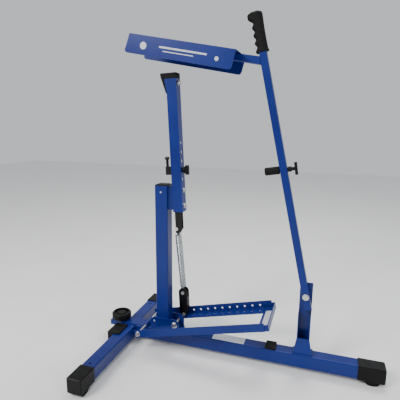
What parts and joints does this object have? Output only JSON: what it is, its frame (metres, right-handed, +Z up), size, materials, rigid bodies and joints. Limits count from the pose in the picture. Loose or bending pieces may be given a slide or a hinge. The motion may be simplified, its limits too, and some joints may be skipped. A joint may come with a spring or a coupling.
{
  "type": "pitching machine",
  "caption": "Hand-worked baseball pitching machine: steel T stand, sprung foot frame, stop column and throwing lever with ball deck.",
  "frame": {"origin": "centre of the machine's footprint, on the floor", "axes": "+X back along the base beam towards the throwing lever, +Y across the stand to its far side, +Z up"},
  "size_m": [1.052, 0.673, 1.2325],
  "materials": {
    "blue_paint": "satin",
    "black_rubber": "matte",
    "black_plastic": "matte",
    "black_steel": "satin",
    "zinc_steel": "satin",
    "spring_steel": "satin"
  },
  "bodies": {
    "stand": {"base_beam": "blue_paint", "cross_beam": "blue_paint", "beam_end_cap": "black_plastic", "cross_cap_near": "black_plastic", "cross_cap_far": "black_plastic", "rubber_feet": "black_rubber", "cross_beam_pad": "black_plastic", "leveling_bracket": "blue_paint", "post": "blue_paint", "post_cap": "black_plastic", "cap_rivet": "zinc_steel", "post_bracket": "blue_paint", "post_bolt": "zinc_steel", "stop_column": "blue_paint", "column_mount": "blue_paint", "column_bolts": "zinc_steel", "rubber_head": "black_rubber", "head_bolt": "zinc_steel", "tension_bar": "black_steel", "spring_pin": "zinc_steel", "axle_sleeve": "blue_paint", "bump_pad": "black_rubber", "lever_bracket": "blue_paint", "lever_nut": "zinc_steel"},
    "leveling_knob_body": {"leveling_knob": "black_plastic"},
    "leveling_screw_body": {"leveling_screw": "black_steel"},
    "foot_frame": {"rail_near": "blue_paint", "rail_far": "blue_paint", "tread_plate": "blue_paint", "frame_axle": "zinc_steel", "axle_nuts": "zinc_steel", "link_bolt": "zinc_steel"},
    "link": {"spring_link": "black_steel", "link_top_pin": "zinc_steel"},
    "spring_hanger": {"upper_hook": "spring_steel", "spring": "spring_steel"},
    "spring_low": {"lower_hook": "spring_steel"},
    "pin": {"locking_pin": "black_steel"},
    "clamp": {"clamp_knob": "black_plastic"},
    "lever": {"throwing_lever": "blue_paint", "lever_end_plug": "black_plastic", "hand_grip": "black_rubber", "deck_arm": "blue_paint", "ball_deck": "blue_paint", "lever_bolt": "zinc_steel", "lever_buffer": "black_rubber"},
    "buffer_adjuster": {"buffer_screw": "black_plastic"}
  },
  "joints": [
    {"name": "lever_swing", "type": "hinge", "parent": "stand", "child": "lever", "pos_m": [0.249, 0.0655, 0.285], "axis": [0, 1, 0], "range_deg": [-8, 55]},
    {"name": "foot_frame_press", "type": "hinge", "parent": "stand", "child": "foot_frame", "pos_m": [-0.363, 0.0655, 0.075], "axis": [0, 1, 0], "range_deg": [0, 11.5], "stiffness_Nm_per_rad": 60, "springref_deg": -11.46},
    {"name": "link_swing", "type": "hinge", "parent": "foot_frame", "child": "link", "pos_m": [-0.22971, 0.1335, 0.10494], "axis": [0, 1, 0], "range_deg": [-11.5, 0]},
    {"name": "hanger_swing", "type": "hinge", "parent": "stand", "child": "spring_hanger", "pos_m": [-0.23353, 0.0655, 0.48646], "axis": [-0.879, -0.4649, -0.1065], "range_deg": [0, 1.28]},
    {"name": "spring_stretch", "type": "slide", "parent": "spring_hanger", "child": "spring_low", "axis": [-0.0037, 0.2301, -0.9732], "range_m": [0, 0.0267], "deforming": ["spring"]},
    {"name": "locking_pin_pull", "type": "slide", "parent": "stand", "child": "pin", "axis": [-0.9986, 0, -0.0523], "range_m": [0, 0.02]},
    {"name": "clamp_knob_turn", "type": "hinge", "parent": "stand", "child": "clamp", "pos_m": [-0.20315, 0.0655, 0.70936], "axis": [0.9986, 0, 0.0523], "range_deg": [-360, 360]},
    {"name": "buffer_screw_turn", "type": "hinge", "parent": "lever", "child": "buffer_adjuster", "pos_m": [0.1504, 0.0655, 0.72611], "axis": [0.9874, 0, 0.1582], "range_deg": [-360, 360]},
    {"name": "leveling_screw_lift", "type": "slide", "parent": "stand", "child": "leveling_screw_body", "axis": [0, 0, 1], "range_m": [0, 0.008]},
    {"name": "leveling_knob_turn", "type": "hinge", "parent": "stand", "child": "leveling_knob_body", "pos_m": [-0.487, 0.0655, 0.087], "axis": [0, 0, 1], "range_deg": [0, 960]}
  ],
  "couplings": [
    {"joint": "link_swing", "follows": "foot_frame_press", "ratio": -1},
    {"joint": "hanger_swing", "follows": "foot_frame_press", "ratio": 0.11003},
    {"joint": "spring_stretch", "follows": "foot_frame_press", "m_per_rad": 0.13209},
    {"joint": "leveling_knob_turn", "follows": "leveling_screw_lift", "rad_per_m": 2094.4}
  ]
}
